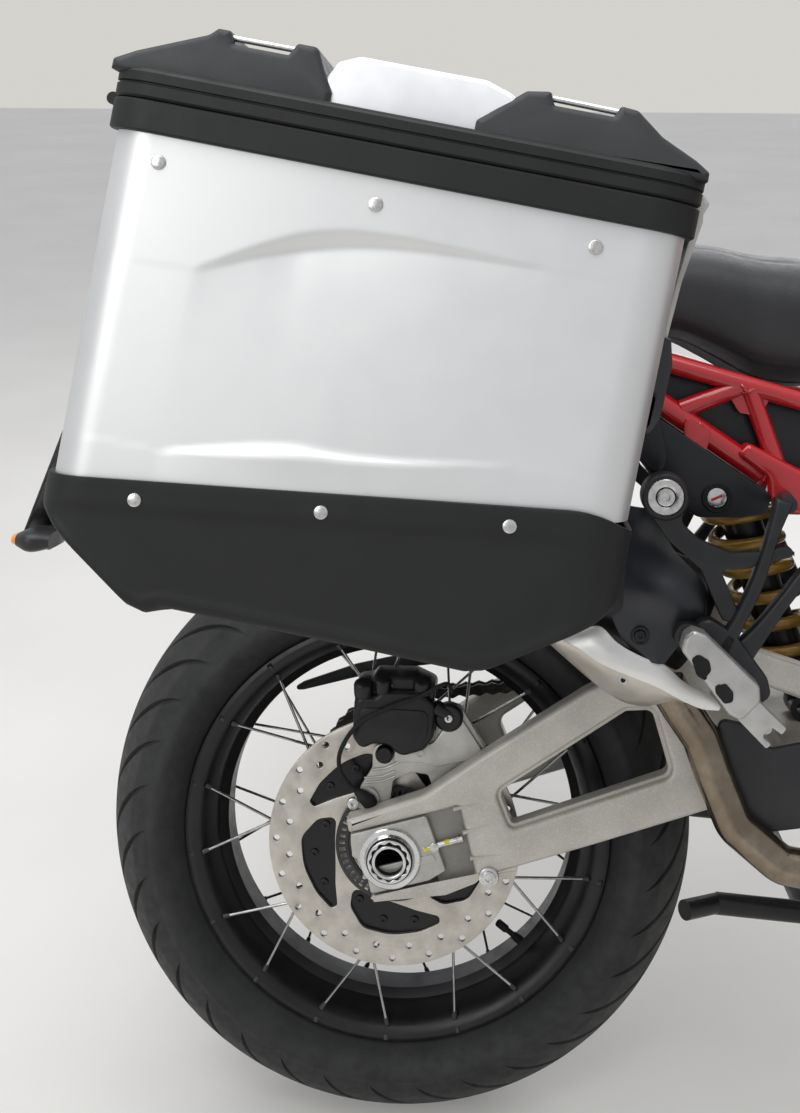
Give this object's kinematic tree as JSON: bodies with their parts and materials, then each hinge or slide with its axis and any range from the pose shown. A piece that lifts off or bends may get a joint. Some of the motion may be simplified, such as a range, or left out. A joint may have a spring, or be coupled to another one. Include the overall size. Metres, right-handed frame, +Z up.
{
  "type": "adventure motorcycle",
  "caption": "Adventure touring motorcycle with spoked wheels and aluminium side cases, leaning on its side stand.",
  "frame": {"origin": "centre of the rear axle in the middle plane", "axes": "+X forward, +Y to the machine's left, +Z up from the floor; the machine leans 12 degrees to its left on its side stand"},
  "size_m": [2.2952, 1.0964, 1.4413],
  "materials": {
    "tyre": "rubber with a slanted road tread",
    "black_metal": "satin black paint",
    "dark_metal": "matt anthracite cast metal",
    "steel": "ground steel",
    "cast_aluminium": "grey cast aluminium",
    "case_aluminium": "satin bead-blasted sheet",
    "red_metal": "gloss red paint",
    "gold_metal": "gold spring",
    "bronze_steel": "heat-tinted steel",
    "black_plastic": "fine-grained black moulding",
    "seat_cover": "black seat cover",
    "clear_lens": "clear polycarbonate"
  },
  "bodies": {
    "root": {"rear_axle": "steel", "swingarm": "cast_aluminium", "drive_chain": "steel", "main_frame": "dark_metal", "rear_subframe": "red_metal", "shock_absorber": "gold_metal", "engine": "dark_metal", "radiator": "black_metal", "skid_plate": "cast_aluminium", "exhaust_pipes": "bronze_steel", "silencer": "black_metal", "heat_shield": "cast_aluminium", "silencer_cover": "black_plastic", "peg_hangers": "dark_metal", "foot_pegs": "cast_aluminium", "pillion_seat": "seat_cover", "rider_seat": "seat_cover", "fuel_tank": "red_metal", "tail_unit": "black_plastic", "side_covers": "black_plastic", "plate_carrier": "black_plastic", "front_fairing": "red_metal", "headlamps": "clear_lens", "windscreen": "clear_lens", "side_fairings": "red_metal", "instrument_panel": "black_plastic", "hugger": "black_plastic", "luggage_rack": "black_metal", "rear_caliper": "black_metal", "case_body_right": "case_aluminium", "case_body_left": "case_aluminium", "case_base_right": "black_plastic", "case_base_left": "black_plastic", "case_rim_right": "black_plastic", "case_rim_left": "black_plastic", "case_latch_right": "steel", "case_latch_left": "steel", "case_carriers": "black_metal"},
    "front_wheel": {"front_tyre": "tyre", "front_wheel_rim": "black_metal", "front_discs": "steel"},
    "rear_wheel": {"rear_tyre": "tyre", "rear_wheel_rim": "black_metal", "rear_disc": "steel", "rear_sprocket": "steel"},
    "steering": {"front_axle": "steel", "fork_legs": "dark_metal", "fork_yokes": "dark_metal", "handlebar": "black_metal", "handguards": "black_plastic", "mirrors": "black_plastic", "front_mudguard": "black_plastic", "front_calipers": "black_metal"},
    "side_stand": {"side_stand": "black_metal"},
    "centre_stand": {"centre_stand": "black_metal"},
    "lid_right": {"case_lid_right": "black_plastic"},
    "lid_left": {"case_lid_left": "black_plastic"}
  },
  "joints": [
    {"name": "steering", "type": "hinge", "parent": "root", "child": "steering", "pos_m": [1.28294, 0.1112, 0.52314], "axis": [-0.4179, 0.1889, 0.8887], "range_deg": [-35, 35]},
    {"name": "front_wheel_spin", "type": "hinge", "parent": "steering", "child": "front_wheel", "pos_m": [1.57, 0.00134, 0.0063], "axis": [0, 0.9781, -0.2079], "continuous": true},
    {"name": "rear_wheel_spin", "type": "hinge", "parent": "root", "child": "rear_wheel", "pos_m": [0, 0, 0], "axis": [0, 0.9781, -0.2079], "continuous": true},
    {"name": "side_stand_swing", "type": "hinge", "parent": "root", "child": "side_stand", "pos_m": [0.618, 0.18773, -0.07875], "axis": [0.1613, 0.8996, 0.4058], "range_deg": [0, 114.5]},
    {"name": "centre_stand_swing", "type": "hinge", "parent": "root", "child": "centre_stand", "pos_m": [0.57, -0.00998, -0.04695], "axis": [0, -0.9781, 0.2079], "range_deg": [0, 85]},
    {"name": "right_case_lid", "type": "hinge", "parent": "root", "child": "lid_right", "pos_m": [-0.19398, -0.24073, 0.79134], "axis": [0, -0.9781, 0.2079], "range_deg": [0, 100]},
    {"name": "left_case_lid", "type": "hinge", "parent": "root", "child": "lid_left", "pos_m": [-0.19398, 0.54179, 0.62501], "axis": [0, -0.9781, 0.2079], "range_deg": [0, 100]}
  ]
}
